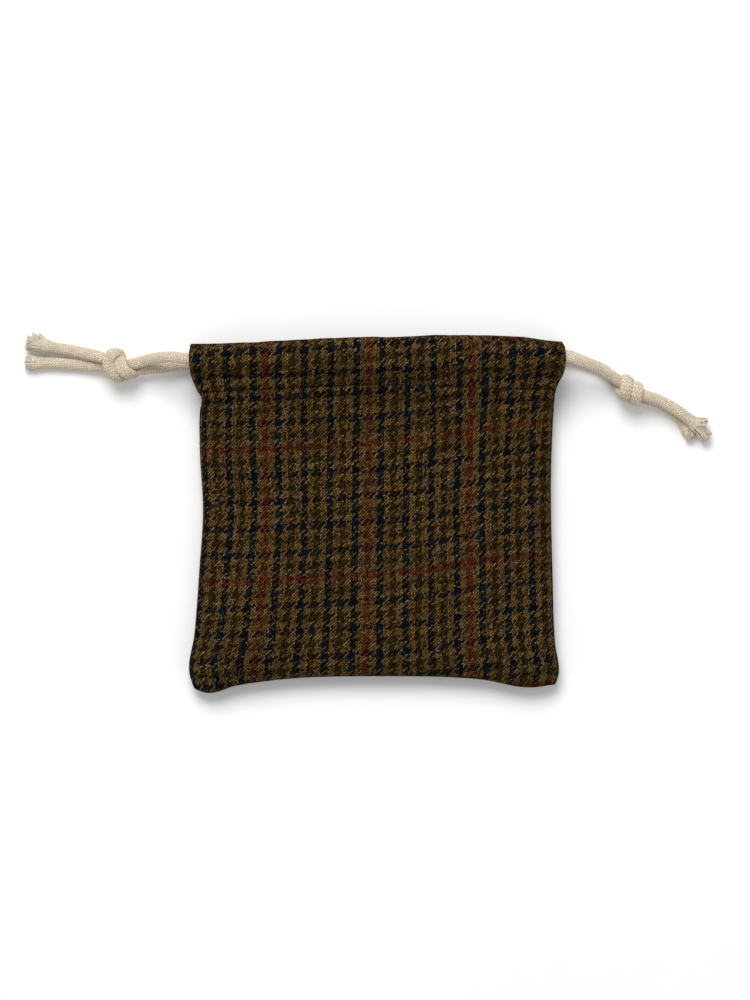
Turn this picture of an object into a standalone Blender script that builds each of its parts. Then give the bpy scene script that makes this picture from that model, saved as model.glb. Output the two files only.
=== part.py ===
"""Tweed drawstring gift sack with two knotted cords, lying on its back panel.

Frame: metres in Blender, +Z up, +Y towards the mouth, +X towards the right cord.
The origin is the middle of the sack's footprint, on the surface it lies on.
Dimensions below are in millimetres and are turned into metres as meshes are made.
"""
import math

import bmesh
import bpy
from mathutils import Vector

MM = 0.001
GAP = 0.3  # clearance between neighbouring solids

# Cloth and sack, seen from the side
CLOTH = 1.2
SEAM_HEIGHT = 5.0  # the plane in which the two panels meet
BODY_TOP = 13.2
BODY_CEILING = BODY_TOP - CLOTH
MOUTH_GAP = 6.0  # between the two hems, where the gift goes in

# Cords and the channels they run in
CORD = 4.2
CHANNEL_HEIGHT = CORD + 2 * GAP
LEFT_CORD_Y = 60.0
RIGHT_CORD_Y = LEFT_CORD_Y + CORD + GAP
CHANNEL_RADIUS = CHANNEL_HEIGHT / 2
POINT_SPACING = 1.3 * CORD  # between the points of a free cord

# Heights that follow from those
BACK_CORD_Z = CLOTH + CHANNEL_RADIUS
BACK_HEM_TOP = 2 * CLOTH + CHANNEL_HEIGHT
FRONT_HEM_BOTTOM = BACK_HEM_TOP + MOUTH_GAP
FRONT_CORD_Z = FRONT_HEM_BOTTOM + CLOTH + CHANNEL_RADIUS
CASING_TOP = FRONT_HEM_BOTTOM + BACK_HEM_TOP

# Where the cords turn back and leave, along X
SACK_END = 75.3
BIGHT_RADIUS = (FRONT_CORD_Z - BACK_CORD_Z) / 2
BIGHT_CENTRE = SACK_END - GAP - CORD / 2 - BIGHT_RADIUS
BIGHT_START = BIGHT_CENTRE - CORD / 2
SLIT_START = BIGHT_CENTRE  # beyond this the hem walls are cut away for the cords
EXIT = SACK_END + GAP
PAST_SACK = SACK_END + 15.0  # where the cutters end, clear of the cloth

# Seam allowance, measured inwards from the sack's edge
LIP = 1.4
THREAD_POCKET = 4.0  # how far in the thread's pocket ends
POCKET_DEPTH = 0.5
SEAM_THREAD = 0.6
SEAM_THREAD_INSET = 2.7
FRONT_SHOULDER = 12.0  # where the front panel is up at its full height
BACK_SHOULDER = 9.0
EDGE_LINES = [0.0, LIP, LIP + 0.2, THREAD_POCKET, THREAD_POCKET + 0.4, 6.5, BACK_SHOULDER, FRONT_SHOULDER]
COLUMNS_BETWEEN = 8
ROWS_BETWEEN = 7

# The casing's stitch line and the side seams' stitch lines
CASING_THREAD = 0.7
STITCH_DROP = 19.2  # from the mouth edge down to the casing's stitch line
CASING_THREAD_END = 66.0
SIDE_THREAD_LOW = -65.2
SIDE_THREAD_HIGH = 42.0
BOTTOM_THREAD_END = 64.0

# Outline of the sack, x against y for the sides, y against x for the ends
LEFT_SIDE = [(-70.0, -73.6), (-64.6, -75.3), (-48.2, -73.4), (-22.0, -71.4), (0.0, -70.0),
             (28.0, -71.3), (45.8, -70.4), (53.4, -74.2), (60.0, -75.3), (67.4, -75.0)]
RIGHT_SIDE = [(-68.8, 71.2), (-65.0, 72.5), (-52.0, 71.2), (-25.0, 70.2), (25.0, 69.8),
              (41.0, 70.6), (48.2, 71.2), (56.0, 74.4), (62.6, 75.3), (69.0, 73.3)]
BOTTOM = [(-73.6, -70.0), (-69.6, -71.7), (-56.2, -69.0), (-38.6, -66.6), (0.0, -65.2),
          (41.4, -66.4), (67.0, -69.5), (71.2, -68.8)]
FRONT_MOUTH = [(-75.0, 67.4), (-43.0, 68.9), (0.0, 70.6), (29.0, 70.0), (50.6, 69.0), (73.3, 68.7)]
BACK_MOUTH = [(-75.0, 67.4), (-43.0, 68.9), (0.0, 70.6), (33.4, 71.7), (63.4, 70.5), (73.3, 69.0)]

FRONT_GROOVE = 14.8  # where the stitching draws the casing in
BACK_GROOVE = 1.6

# Sections down the sack, height against the distance from the mouth edge
FRONT_OUTSIDE = [(0.0, 17.4), (0.2, 18.5), (0.7, 19.5), (1.6, 20.2), (3.0, CASING_TOP),
                 (15.6, CASING_TOP), (17.2, 19.2), (18.2, FRONT_GROOVE), (20.2, FRONT_GROOVE),
                 (22.0, 15.0), (26.0, BODY_TOP)]
FRONT_INSIDE = [(0.0, 16.2), (0.2, 15.1), (0.7, 14.1), (1.6, 13.4), (3.0, FRONT_HEM_BOTTOM),
                (20.2, FRONT_HEM_BOTTOM), (26.0, BODY_CEILING)]
BACK_INSIDE = [(0.0, 4.2), (0.2, 5.3), (0.7, 6.3), (1.6, 7.0), (3.0, BACK_HEM_TOP),
               (15.6, BACK_HEM_TOP), (17.2, 6.0), (18.2, 4.2), (20.2, 3.0), (22.0, 1.8), (26.0, CLOTH)]
MOUTH_LINES = [0.0, 0.2, 0.7, 1.6, 3.0, 9.0, 15.6, 17.2, 18.2, 20.2, 22.0, 24.0, 26.0]
BACK_OUTSIDE = [(0.0, 3.0), (0.2, 1.9), (0.7, 0.9), (1.6, 0.2), (3.0, 0.0), (17.2, 0.0),
                (18.2, BACK_GROOVE), (20.2, BACK_GROOVE), (22.0, 0.0), (26.0, 0.0)]
CASING_ENDS = 20.2
SEAM_STARTS = 22.5  # from the mouth edge, where the side seams begin

# Free cords, from the sack's edge to the knot and from the knot to the end
LEFT_KNOT = (-103.0, 59.3, 6.9)
LEFT_KNOT_SIZE = (6.6, 6.9, 6.8)
RIGHT_KNOT = (100.5, 49.5, 6.8)
RIGHT_KNOT_SIZE = (6.3, 6.6, 6.7)
RIGHT_KNOT_TURN = -29.0  # degrees about Z

LEFT_FRONT_LEAD = [(-76.8, LEFT_CORD_Y, FRONT_CORD_Z), (-80.0, 61.2, 16.3), (-83.7, 62.1, 14.8),
                   (-88.0, 62.2, 12.2), (-92.5, 61.5, 9.9), (-96.2, 60.4, 8.5)]
LEFT_BACK_LEAD = [(-76.8, LEFT_CORD_Y, BACK_CORD_Z), (-80.5, 59.7, 3.1), (-85.5, 59.0, 2.7),
                  (-91.5, 58.0, 3.3), (-95.9, 57.0, 4.2)]
LEFT_UPPER_TAIL = [(-110.0, 62.3, 8.0), (-115.0, 63.7, 5.9), (-121.6, 65.2, 3.7),
                   (-128.0, 66.4, 2.5), (-134.0, 67.4, 2.2), (-139.2, 68.2, 2.2)]
LEFT_LOWER_TAIL = [(-109.7, 58.6, 4.2), (-115.5, 59.0, 2.8), (-121.6, 59.5, 2.2),
                   (-128.0, 60.1, 2.2), (-134.5, 60.5, 2.2), (-140.8, 60.6, 2.2)]
RIGHT_FRONT_LEAD = [(76.8, RIGHT_CORD_Y, FRONT_CORD_Z), (79.6, 63.0, 16.4), (83.0, 61.0, 14.9),
                    (87.5, 58.3, 12.2), (92.0, 55.7, 9.8), (94.8, 53.9, 8.6)]
RIGHT_BACK_LEAD = [(76.8, RIGHT_CORD_Y, BACK_CORD_Z), (80.4, 63.9, 3.0), (85.0, 61.3, 2.6),
                   (89.0, 57.4, 2.6), (92.2, 54.4, 3.0), (94.2, 52.2, 3.6)]
RIGHT_OVER_TAIL = [(107.1, 47.5, 7.6), (112.5, 45.5, 6.8), (117.1, 42.9, 6.6), (121.7, 39.9, 6.5),
                   (126.3, 36.9, 4.9), (129.3, 34.3, 2.9), (131.3, 31.8, 2.3)]
RIGHT_UNDER_TAIL = [(105.6, 45.3, 3.3), (111.2, 43.4, 2.3), (117.1, 40.7, 2.2), (120.4, 38.2, 2.2),
                    (122.6, 35.2, 2.2), (124.4, 32.4, 2.2), (125.4, 29.8, 2.2)]


def curve_through(points, u):
    """Height of a smooth curve through (u, height) points at u, flat beyond its ends."""
    if u <= points[0][0]:
        return points[0][1]
    if u >= points[-1][0]:
        return points[-1][1]
    i = max(k for k in range(len(points) - 1) if points[k][0] <= u)
    (u0, h0), (u1, h1) = points[i], points[i + 1]

    def slope(k):
        a, b = points[max(k - 1, 0)], points[min(k + 1, len(points) - 1)]
        return (b[1] - a[1]) / (b[0] - a[0])

    t = (u - u0) / (u1 - u0)
    m0, m1 = slope(i) * (u1 - u0), slope(i + 1) * (u1 - u0)
    return ((2 * t ** 3 - 3 * t ** 2 + 1) * h0 + (t ** 3 - 2 * t ** 2 + t) * m0
            + (3 * t ** 2 - 2 * t ** 3) * h1 + (t ** 3 - t ** 2) * m1)


def line_through(points, u):
    """Height of straight runs through (u, height) points at u."""
    for (u0, h0), (u1, h1) in zip(points, points[1:]):
        if u <= u1:
            return h0 + (h1 - h0) * max(u - u0, 0) / (u1 - u0)
    return points[-1][1]


def blend(a, b, share):
    return a + (b - a) * share


def spread(low, high, count):
    """Values from low to high, count equal steps apart."""
    return [blend(low, high, k / count) for k in range(count + 1)]


def smooth_step(low, high, u):
    t = min(max((u - low) / (high - low), 0.0), 1.0)
    return t * t * (3 - 2 * t)


def rounded(u):
    """A quarter ellipse: 0 at the edge, 1 from u = 1 inwards."""
    u = min(max(u, 0.0), 1.0)
    return math.sqrt(1 - (1 - u) ** 2)


def material(name, colour, roughness):
    made = bpy.data.materials.new(name)
    made.use_nodes = True
    shader = made.node_tree.nodes["Principled BSDF"]
    shader.inputs["Base Color"].default_value = (*colour, 1)
    shader.inputs["Roughness"].default_value = roughness
    shader.inputs["Metallic"].default_value = 0.0
    return made


def add_object(name, data, finish, parent=None):
    made = bpy.data.objects.new(name, data)
    data.materials.append(finish)
    made.parent = parent
    bpy.context.scene.collection.objects.link(made)
    return made


def mesh_of(name, vertices, faces):
    """A mesh from points in millimetres, with its faces turned outwards."""
    mesh = bpy.data.meshes.new(name)
    mesh.from_pydata([Vector(v) * MM for v in vertices], [], faces)
    work = bmesh.new()
    work.from_mesh(mesh)
    bmesh.ops.recalc_face_normals(work, faces=work.faces)
    bmesh.ops.triangulate(work, faces=work.faces)
    work.to_mesh(mesh)
    work.free()
    return mesh


def section_lines(near, far, between):
    """Grid lines of a panel: distances from the near edge, shares in between, distances from the far edge."""
    lines = [("near", d) for d in near]
    lines += [("between", k / (between + 1)) for k in range(1, between + 1)]
    return lines + [("far", d) for d in reversed(far)]


def place(line, low, high, near, far):
    kind, value = line
    if kind == "near":
        return low + value
    if kind == "far":
        return high - value
    return blend(low + near[-1], high - far[-1], value)


def panel_grid(mouth):
    """Rows of (x, y, distance to the nearest seam, distance from the mouth edge) over a panel."""
    rows = []
    for row in section_lines(EDGE_LINES, MOUTH_LINES, ROWS_BETWEEN):
        points = []
        for column in section_lines(EDGE_LINES, EDGE_LINES, COLUMNS_BETWEEN):
            guess = place(column, LEFT_SIDE[0][1], RIGHT_SIDE[-1][1], EDGE_LINES, EDGE_LINES)
            bottom, top = curve_through(BOTTOM, guess), curve_through(mouth, guess)
            y = place(row, bottom, top, EDGE_LINES, MOUTH_LINES)
            left, right = curve_through(LEFT_SIDE, y), curve_through(RIGHT_SIDE, y)
            x = place(column, left, right, EDGE_LINES, EDGE_LINES)
            points.append((x, y, min(x - left, right - x, y - bottom), top - y))
        rows.append(points)
    return rows


def panel_mesh(name, mouth, upper, lower):
    """A closed panel between two height functions of (distance to the seam, distance from the mouth)."""
    rows = panel_grid(mouth)
    tall, wide = len(rows), len(rows[0])
    top = [(x, y, upper(edge, drop)) for row in rows for x, y, edge, drop in row]
    bottom = [(x, y, lower(edge, drop)) for row in rows for x, y, edge, drop in row]
    count = tall * wide
    faces = []
    for j in range(tall - 1):
        for i in range(wide - 1):
            a, b, c, d = j * wide + i, j * wide + i + 1, (j + 1) * wide + i + 1, (j + 1) * wide + i
            faces += [(a, b, c, d), (d + count, c + count, b + count, a + count)]
    rim = list(range(wide)) + [j * wide + wide - 1 for j in range(1, tall)]
    rim += [(tall - 1) * wide + i for i in range(wide - 2, -1, -1)]
    rim += [j * wide for j in range(tall - 2, 0, -1)]
    for a, b in zip(rim, rim[1:] + rim[:1]):
        faces.append((a, a + count, b + count, b))
    return mesh_of(name, top + bottom, faces)


def allowance(edge, lip, pocket, inner):
    """Height of a panel's inside near a seam: the lip, the thread's pocket, then the open inside."""
    rounding = 0.01
    if edge <= LIP + rounding:
        return lip
    if edge <= THREAD_POCKET + rounding:
        return pocket
    return inner


def front_top(edge, drop):
    pinched = SEAM_HEIGHT + GAP / 2 + CLOTH
    body = blend(pinched, BODY_TOP, rounded(edge / FRONT_SHOULDER))
    return blend(line_through(FRONT_OUTSIDE, drop), body, smooth_step(CASING_ENDS, SEAM_STARTS, drop))


def front_underside(edge, drop):
    lip = SEAM_HEIGHT + GAP / 2
    ceiling = blend(lip, BODY_CEILING, rounded(edge / FRONT_SHOULDER))
    body = allowance(edge, lip, lip + POCKET_DEPTH, ceiling)
    return blend(line_through(FRONT_INSIDE, drop), body, smooth_step(CASING_ENDS, SEAM_STARTS, drop))


def back_underside(edge, drop):
    raised = SEAM_HEIGHT - GAP / 2 - CLOTH
    body = blend(raised, 0.0, rounded(edge / BACK_SHOULDER))
    return blend(line_through(BACK_OUTSIDE, drop), body, smooth_step(CASING_ENDS, SEAM_STARTS, drop))


def back_top(edge, drop):
    lip = SEAM_HEIGHT - GAP / 2
    floor = blend(lip, CLOTH, rounded(edge / BACK_SHOULDER))
    body = allowance(edge, lip, lip - POCKET_DEPTH, floor)
    return blend(line_through(BACK_INSIDE, drop), body, smooth_step(CASING_ENDS, SEAM_STARTS, drop))


def prism(name, section, x_low, x_high):
    """A guide solid: a (y, z) section drawn out along X. It only cuts other solids."""
    count = len(section)
    vertices = [(x_low, y, z) for y, z in section] + [(x_high, y, z) for y, z in section]
    sides = [(k, (k + 1) % count, (k + 1) % count + count, k + count) for k in range(count)]
    faces = sides + [tuple(range(count)), tuple(range(2 * count - 1, count - 1, -1))]
    cutter = bpy.data.objects.new(name, mesh_of(name, vertices, faces))
    bpy.context.scene.collection.objects.link(cutter)
    cutter.hide_render = True
    cutter.display_type = "WIRE"
    return cutter


def cut(target, cutter):
    modifier = target.modifiers.new(cutter.name, "BOOLEAN")
    modifier.operation = "DIFFERENCE"
    modifier.solver = "EXACT"
    modifier.object = cutter


def channel_section(height):
    """A stadium round the two cords that lie side by side in a channel."""
    steps = 6
    points = []
    for centre, start in ((RIGHT_CORD_Y, -90), (LEFT_CORD_Y, 90)):
        for step in range(steps + 1):
            angle = math.radians(start + step * 180 / steps)
            out, up = CHANNEL_RADIUS * math.cos(angle), CHANNEL_RADIUS * math.sin(angle)
            points.append((centre + out, height + up))
    return points


def cut_channel(panel, height, slit_low, slit_high):
    """Opens the casing's channel from end to end, and its hem wall at both side slits."""
    cut(panel, prism(panel.name + "_channel_cut", channel_section(height), -PAST_SACK, PAST_SACK))
    low_y, high_y = LEFT_CORD_Y - CHANNEL_RADIUS - GAP, RIGHT_CORD_Y + CHANNEL_RADIUS + GAP
    slit = [(low_y, slit_low), (high_y, slit_low), (high_y, slit_high), (low_y, slit_high)]
    cut(panel, prism(panel.name + "_left_slit_cut", slit, -PAST_SACK, -SLIT_START))
    cut(panel, prism(panel.name + "_right_slit_cut", slit, SLIT_START, PAST_SACK))


def make_panels(tweed):
    front_mesh = panel_mesh("front_panel", FRONT_MOUTH, front_top, front_underside)
    front = add_object("front_panel", front_mesh, tweed)
    cut_channel(front, FRONT_CORD_Z, FRONT_HEM_BOTTOM - CLOTH, FRONT_CORD_Z - CLOTH / 2)
    back_mesh = panel_mesh("back_panel", BACK_MOUTH, back_top, back_underside)
    back = add_object("back_panel", back_mesh, tweed)
    cut_channel(back, BACK_CORD_Z, BACK_CORD_Z + CLOTH / 2, BACK_HEM_TOP + CLOTH)


def route(points, spacing):
    """Points about spacing apart on a smooth curve through a cord's own points."""
    steps = 20
    knots = [Vector(p) for p in points]
    ends = [knots[0] * 2 - knots[1]] + knots + [knots[-1] * 2 - knots[-2]]
    fine = []
    for a, b, c, d in zip(ends, ends[1:], ends[2:], ends[3:]):
        for k in range(steps):
            t = k / steps
            fine.append(0.5 * (2 * b + (c - a) * t + (2 * a - 5 * b + 4 * c - d) * t ** 2
                               + (3 * b - 3 * c + d - a) * t ** 3))
    fine.append(knots[-1])
    lengths = [0.0]
    for a, b in zip(fine, fine[1:]):
        lengths.append(lengths[-1] + (b - a).length)
    pieces = max(round(lengths[-1] / spacing), 2)
    chosen = []
    for k in range(pieces + 1):
        wanted = lengths[-1] * k / pieces
        chosen.append(fine[min(range(len(fine)), key=lambda i: abs(lengths[i] - wanted))])
    return chosen


def tube(name, points, diameter, finish, slide=None):
    """A round cord or thread along points in millimetres, carried by its slide."""
    curve = bpy.data.curves.new(name, "CURVE")
    curve.dimensions = "3D"
    curve.bevel_depth = diameter / 2 * MM
    curve.bevel_resolution = 2
    curve.use_fill_caps = True
    spline = curve.splines.new("POLY")
    spline.points.add(len(points) - 1)
    base = slide.location if slide else Vector((0, 0, 0))
    for target, p in zip(spline.points, points):
        target.co = (*(Vector(p) * MM - base), 1)
    return add_object(name, curve, finish, slide)


def knot(name, centre, size, turn, finish, slide):
    """The outer shape of an overhand knot: a rounded lump as long, wide and tall as the wrapped cord."""
    mesh = bpy.data.meshes.new(name)
    work = bmesh.new()
    bmesh.ops.create_uvsphere(work, u_segments=16, v_segments=10, radius=1.0)
    for vertex in work.verts:
        vertex.co = Vector(vertex.co[k] * size[k] * MM for k in range(3))
    work.to_mesh(mesh)
    work.free()
    mesh.shade_smooth()
    made = add_object(name, mesh, finish, slide)
    made.location = Vector(centre) * MM - slide.location
    made.rotation_euler = (0, 0, math.radians(turn))


def bight(side, y):
    """The turn of a cord round the far side slit, from the front channel to the back one."""
    steps = 8
    points = [(side * BIGHT_START, y, FRONT_CORD_Z)]
    for step in range(steps + 1):
        angle = math.radians(90 - step * 180 / steps)
        points.append((side * (BIGHT_CENTRE + BIGHT_RADIUS * math.cos(angle)), y,
                       (FRONT_CORD_Z + BACK_CORD_Z) / 2 + BIGHT_RADIUS * math.sin(angle)))
    return points + [(side * BIGHT_START, y, BACK_CORD_Z)]


def make_drawstring(name, side, y, cotton, leads, tails, knot_place):
    """One cord: two runs through the channels, a bight round the far slit, two leads, a knot, two tails."""
    slide = bpy.data.objects.new(name + "_slide", None)
    slide.location = Vector((side * SACK_END, y, BACK_CORD_Z)) * MM
    bpy.context.scene.collection.objects.link(slide)
    for level, height in (("front", FRONT_CORD_Z), ("back", BACK_CORD_Z)):
        run = [(side * SACK_END, y, height), (-side * (BIGHT_START - GAP), y, height)]
        tube(f"{name}_{level}_run", run, CORD, cotton, slide)
    tube(f"{name}_bight", bight(-side, y), CORD, cotton, slide)
    for part, points in leads.items():
        height = FRONT_CORD_Z if part == "front_lead" else BACK_CORD_Z
        straight = [(side * EXIT, y, height)]
        tube(f"{name}_{part}", straight + route(points, POINT_SPACING), CORD, cotton, slide)
    for part, points in tails.items():
        tube(f"{name}_{part}", route(points, POINT_SPACING), CORD, cotton, slide)
    centre, size, turn = knot_place
    knot(f"{name}_knot", centre, size, turn, cotton, slide)


def make_threads(thread):
    """The rows of stitching: one along each casing and one along each seam, inside the allowance."""
    for name, mouth, height in (("front_casing_thread", FRONT_MOUTH, FRONT_GROOVE + GAP + CASING_THREAD / 2),
                                ("back_casing_thread", BACK_MOUTH, BACK_GROOVE - GAP - CASING_THREAD / 2)):
        along = spread(-CASING_THREAD_END, CASING_THREAD_END, 11)
        row = [(x, curve_through(mouth, x) - STITCH_DROP, height) for x in along]
        tube(name, row, CASING_THREAD, thread)
    for name, side, sign in (("left_seam_thread", LEFT_SIDE, 1), ("right_seam_thread", RIGHT_SIDE, -1)):
        along = spread(SIDE_THREAD_LOW, SIDE_THREAD_HIGH, 10)
        row = [(curve_through(side, y) + sign * SEAM_THREAD_INSET, y, SEAM_HEIGHT) for y in along]
        tube(name, row, SEAM_THREAD, thread)
    along = spread(-BOTTOM_THREAD_END, BOTTOM_THREAD_END, 16)
    row = [(x, curve_through(BOTTOM, x) + SEAM_THREAD_INSET, SEAM_HEIGHT) for x in along]
    tube("bottom_seam_thread", row, SEAM_THREAD, thread)


def main():
    for old in list(bpy.data.objects):
        bpy.data.objects.remove(old)
    tweed = material("tweed", (0.041, 0.025, 0.011), 0.95)
    cotton = material("cotton_cord", (0.60, 0.50, 0.36), 0.85)
    thread = material("sewing_thread", (0.020, 0.016, 0.010), 0.7)
    make_panels(tweed)
    make_threads(thread)
    make_drawstring("left_drawstring", -1, LEFT_CORD_Y, cotton,
                    {"front_lead": LEFT_FRONT_LEAD, "back_lead": LEFT_BACK_LEAD},
                    {"upper_tail": LEFT_UPPER_TAIL, "lower_tail": LEFT_LOWER_TAIL},
                    (LEFT_KNOT, LEFT_KNOT_SIZE, 0.0))
    make_drawstring("right_drawstring", 1, RIGHT_CORD_Y, cotton,
                    {"front_lead": RIGHT_FRONT_LEAD, "back_lead": RIGHT_BACK_LEAD},
                    {"over_tail": RIGHT_OVER_TAIL, "under_tail": RIGHT_UNDER_TAIL},
                    (RIGHT_KNOT, RIGHT_KNOT_SIZE, RIGHT_KNOT_TURN))


main()
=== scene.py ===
"""Looks of the tweed drawstring gift sack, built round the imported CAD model.

Lengths in the functions below are millimetres in the row frame, and MM turns them into
metres as meshes are made. +X is towards the right cord, +Y towards the mouth, +Z is up.
"""
import math

import bmesh
import bpy
import numpy as np
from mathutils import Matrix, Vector, noise


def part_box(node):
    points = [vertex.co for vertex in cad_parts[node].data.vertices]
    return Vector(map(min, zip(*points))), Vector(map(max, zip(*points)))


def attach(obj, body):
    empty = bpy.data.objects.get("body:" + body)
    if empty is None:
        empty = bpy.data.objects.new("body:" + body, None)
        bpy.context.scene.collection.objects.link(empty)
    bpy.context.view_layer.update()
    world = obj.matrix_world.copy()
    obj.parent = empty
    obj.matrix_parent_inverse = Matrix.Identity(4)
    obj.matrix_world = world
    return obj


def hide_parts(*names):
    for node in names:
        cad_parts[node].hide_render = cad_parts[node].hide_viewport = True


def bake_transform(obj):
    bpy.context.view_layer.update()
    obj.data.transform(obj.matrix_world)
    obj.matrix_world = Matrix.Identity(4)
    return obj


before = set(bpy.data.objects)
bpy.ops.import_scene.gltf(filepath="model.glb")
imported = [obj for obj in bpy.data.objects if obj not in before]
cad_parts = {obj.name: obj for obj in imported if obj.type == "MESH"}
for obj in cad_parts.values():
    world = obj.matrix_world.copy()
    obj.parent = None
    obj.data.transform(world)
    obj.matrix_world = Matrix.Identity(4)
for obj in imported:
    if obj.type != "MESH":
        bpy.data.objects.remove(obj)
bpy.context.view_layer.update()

MM = 0.001

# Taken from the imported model
LEFT_RUN_LOW, LEFT_RUN_HIGH = (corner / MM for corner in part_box("left_drawstring_front_run"))
RIGHT_RUN_LOW, RIGHT_RUN_HIGH = (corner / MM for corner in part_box("right_drawstring_front_run"))
BACK_RUN_LOW, BACK_RUN_HIGH = (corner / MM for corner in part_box("left_drawstring_back_run"))
SACK_END = (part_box("front_panel")[1] / MM).x
CORD = LEFT_RUN_HIGH.z - LEFT_RUN_LOW.z
LEFT_CORD_Y = (LEFT_RUN_LOW.y + LEFT_RUN_HIGH.y) / 2
RIGHT_CORD_Y = (RIGHT_RUN_LOW.y + RIGHT_RUN_HIGH.y) / 2
FRONT_CORD_Z = (LEFT_RUN_LOW.z + LEFT_RUN_HIGH.z) / 2
BACK_CORD_Z = (BACK_RUN_LOW.z + BACK_RUN_HIGH.z) / 2
BIGHT_RADIUS = (FRONT_CORD_Z - BACK_CORD_Z) / 2

# Cloth
CLOTH = 1.15
STITCH_DROP = 19.2
ALLOWANCE = 6.0
FRONT_SHOULDER, BACK_SHOULDER = 13.0, 9.5
HALF_WIDTH = 73.0  # of a panel from the middle line to a side seam, before its outline is followed
SEAM_Z, SEAM_APART = 5.0, 0.75  # the side seams' height, and each panel's middle surface from it
FRONT_LEVEL, BACK_LEVEL = 12.6, 0.62  # middle surface of the flat of each panel
LIFT = 0.02  # everything is kept this far above the ground, and the cloth this far inside its outline
END_PITCH, PICK_PITCH = 0.629, 0.660  # yarns along the sack's height, and across it
WAIST = 40.0  # above this the panel's sides flare out to the ends of the casing
SPREAD = 26.0  # and only the cloth this near to them is stretched
CORD_ROOM = 0.08  # between a cord in the casing and the cloth round it
BAY_END = 67.6  # the casing's inner layers stop here where a cord turns from the front casing to the back one
BAY_REACH = 20.0  # and only the cloth this near to the ends is drawn back for it
BAY_HALF, BAY_ROUND = 2.7, 1.5  # half the bay's height, and how far its corners are rounded
CUT_EDGE_STEP = 0.06  # between the cloth's last rows of points at the casing's cut ends

# How finely a panel is divided, and its allowance inwards from the crease
CASING_ROWS, BODY_ROWS, HALF_COLUMNS, SHOULDER_STEPS = 124, 84, 54, 12
TURNED = np.array([ALLOWANCE, 3.0, 1.1, 0.3])

# Outline, the same as the CAD model's
LEFT_SIDE = [(-70.0, -73.6), (-64.6, -75.3), (-48.2, -73.4), (-22.0, -71.4), (0.0, -70.0),
             (28.0, -71.3), (41.5, -71.1), (45.8, -70.4), (49.5, -72.4), (53.4, -74.2), (60.0, -75.3),
             (65.2, -75.2), (66.6, -74.6), (67.2, -74.1)]
RIGHT_SIDE = [(-68.8, 71.2), (-65.0, 72.5), (-52.0, 71.2), (-25.0, 70.2), (25.0, 69.8),
              (41.0, 70.6), (48.2, 71.2), (51.7, 72.4), (56.0, 74.4), (62.6, 75.3), (66.2, 74.9),
              (68.0, 73.9), (69.0, 73.1)]
BOTTOM = [(-73.6, -70.0), (-69.6, -71.7), (-56.2, -69.0), (-38.6, -66.6), (0.0, -65.2),
          (41.4, -66.4), (67.0, -69.5), (71.2, -68.8)]
FRONT_MOUTH = [(-75.0, 67.4), (-43.0, 68.9), (0.0, 70.6), (29.0, 70.0), (50.6, 69.0), (73.3, 68.7)]
BACK_MOUTH = [(-75.0, 67.4), (-43.0, 68.9), (0.0, 70.6), (33.4, 71.7), (63.4, 70.5), (73.3, 69.0)]
WEFT_RISE = [(-72.0, -3.0), (-43.0, -2.4), (-7.0, 0.0), (17.0, 1.8), (37.0, 4.9), (67.0, 9.0)]

# Free cords: the CAD model's leads and tails, with the knots' wraps between them
LEFT_OVER_STRAND = [
    (-76.8, 61.7, FRONT_CORD_Z), (-80.0, 62.4, 16.3), (-83.7, 62.5, 14.8), (-88.0, 62.2, 12.2),
    (-92.5, 61.4, 9.9), (-96.2, 60.3, 8.5), (-100.0, 59.4, 7.2), (-104.6, 59.0, 5.6),
    (-109.7, 59.2, 4.2), (-115.5, 59.4, 2.8), (-121.6, 59.8, 2.2), (-128.0, 60.2, 2.2),
    (-134.5, 60.4, 2.3), (-139.6, 60.4, 2.5)]
LEFT_WRAP_STRAND = [
    (-76.8, LEFT_CORD_Y, BACK_CORD_Z), (-80.5, 59.7, 3.4), (-85.5, 58.7, 3.8), (-91.0, 58.2, 4.8),
    (-95.7, 57.5, 5.0), (-98.9, 58.2, 3.6), (-101.4, 57.8, 2.5), (-102.4, 56.4, 2.3),
    (-101.3, 55.3, 2.6), (-99.4, 55.4, 3.8), (-98.3, 55.8, 5.8), (-98.4, 55.9, 8.4),
    (-99.7, 55.9, 10.5), (-101.2, 56.6, 11.4), (-102.4, 58.4, 11.6), (-103.0, 60.7, 10.8),
    (-103.0, 62.4, 8.8), (-103.1, 63.2, 6.2), (-103.7, 62.8, 3.8), (-104.5, 60.4, 2.4),
    (-104.6, 57.2, 2.3), (-103.8, 55.0, 3.3), (-103.4, 54.2, 5.6), (-104.2, 54.4, 8.2),
    (-106.3, 56.6, 9.8), (-107.5, 59.2, 10.4), (-107.5, 61.8, 10.8), (-106.4, 63.7, 11.0),
    (-104.8, 64.5, 10.4), (-103.7, 64.3, 8.2), (-104.0, 63.5, 5.8), (-106.6, 62.6, 5.8),
    (-110.0, 62.5, 7.4), (-115.0, 63.8, 5.9), (-121.6, 65.2, 3.7), (-128.0, 66.3, 2.6),
    (-131.5, 66.9, 2.6), (-135.4, 67.7, 2.8)]
RIGHT_OVER_STRAND = [
    (76.8, 62.0, FRONT_CORD_Z), (79.6, 61.1, 16.2), (83.0, 59.9, 14.8), (87.5, 58.3, 12.2),
    (92.0, 56.1, 9.8), (94.8, 54.4, 8.6), (98.4, 51.8, 7.4), (102.6, 49.2, 7.2),
    (107.1, 47.3, 7.6), (112.5, 45.5, 6.8), (117.1, 43.2, 6.6), (121.7, 40.2, 6.5),
    (125.4, 37.4, 5.6), (128.6, 34.9, 4.4)]
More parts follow.
